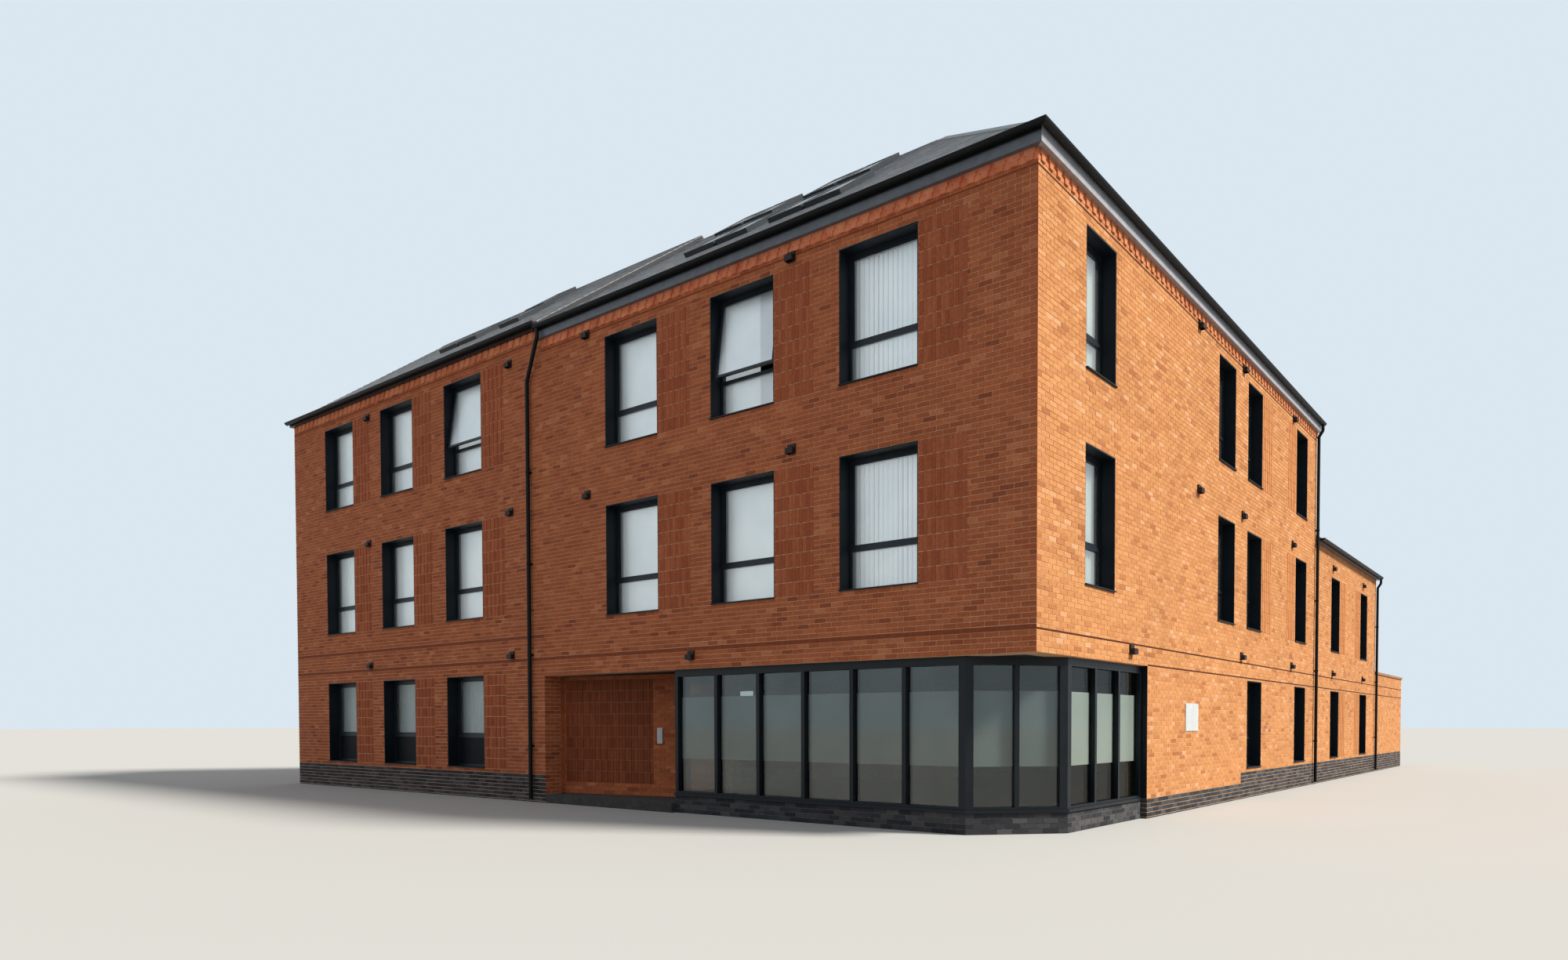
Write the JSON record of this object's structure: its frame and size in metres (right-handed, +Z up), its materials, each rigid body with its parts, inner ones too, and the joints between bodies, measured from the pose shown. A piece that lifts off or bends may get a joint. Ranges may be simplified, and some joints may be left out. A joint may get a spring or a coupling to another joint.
{
  "type": "corner shop building",
  "caption": "Hollow brick corner building with a glazed shop on the cut-off corner, a recessed porch, floors, slate roofs and a lower wing with a yard wall.",
  "frame": {"origin": "middle of the building's footprint at the base, where it rests on the ground", "axes": "+Z up, -Y towards the main street front with the shop and porch, +X towards the side street front"},
  "size_m": [21.874, 29.089, 12.7465],
  "materials": {
    "red_brick": "wire-cut facing brick with pale mortar, matt",
    "black_plastic": "black rainwater goods",
    "grey_metal": "anthracite powder coat, satin",
    "floor_slab": "plain concrete",
    "slate": "dark grey roof slate",
    "window_glass": "clear double glazing",
    "shop_glass": "clear glazing with a frosted band",
    "blue_brick": "dark engineering brick, matt",
    "plaster": "dark painted board",
    "white_board": "white",
    "brown_cowl": "brick-brown vent cowl",
    "coping": "brick-on-edge coping"
  },
  "bodies": {
    "root": {"court_wall": "red_brick", "downpipes": "black_plastic", "entrance_door": "grey_metal", "entrance_frame": "grey_metal", "front_floors": "floor_slab", "front_gutters": "black_plastic", "front_roof_court_slope": "slate", "front_roof_street_slope": "slate", "front_wall_left_first": "red_brick", "front_wall_left_ground": "red_brick", "front_wall_left_second": "red_brick", "front_wall_right_first": "red_brick", "front_wall_right_second": "red_brick", "left_floors": "floor_slab", "left_roof_court_slope": "slate", "left_roof_street_slope": "slate", "party_wall": "red_brick", "porch_back_wall": "red_brick", "rear_wall": "red_brick", "reveal_linings": "grey_metal", "ridge_tiles": "slate", "rooflight_frames": "grey_metal", "rooflight_glass": "window_glass", "shop_glass": "shop_glass", "shop_plinth": "blue_brick", "shopfront_frame": "grey_metal", "side_end_wall": "red_brick", "side_floors": "floor_slab", "side_gutters": "black_plastic", "side_roof_court_slope": "slate", "side_roof_street_slope": "slate", "side_wall_first": "red_brick", "side_wall_ground": "red_brick", "side_wall_second": "red_brick", "soffits": "plaster", "toothed_course": "red_brick", "wall_plates": "white_board", "wall_vents": "brown_cowl", "window_frames": "grey_metal", "window_glass": "window_glass", "window_panels": "grey_metal", "wing_end_wall": "red_brick", "wing_rear_wall": "red_brick", "wing_roof": "slate", "wing_wall_first": "red_brick", "wing_wall_ground": "red_brick", "yard_wall": "red_brick", "yard_wall_coping": "coping"}
  },
  "joints": []
}
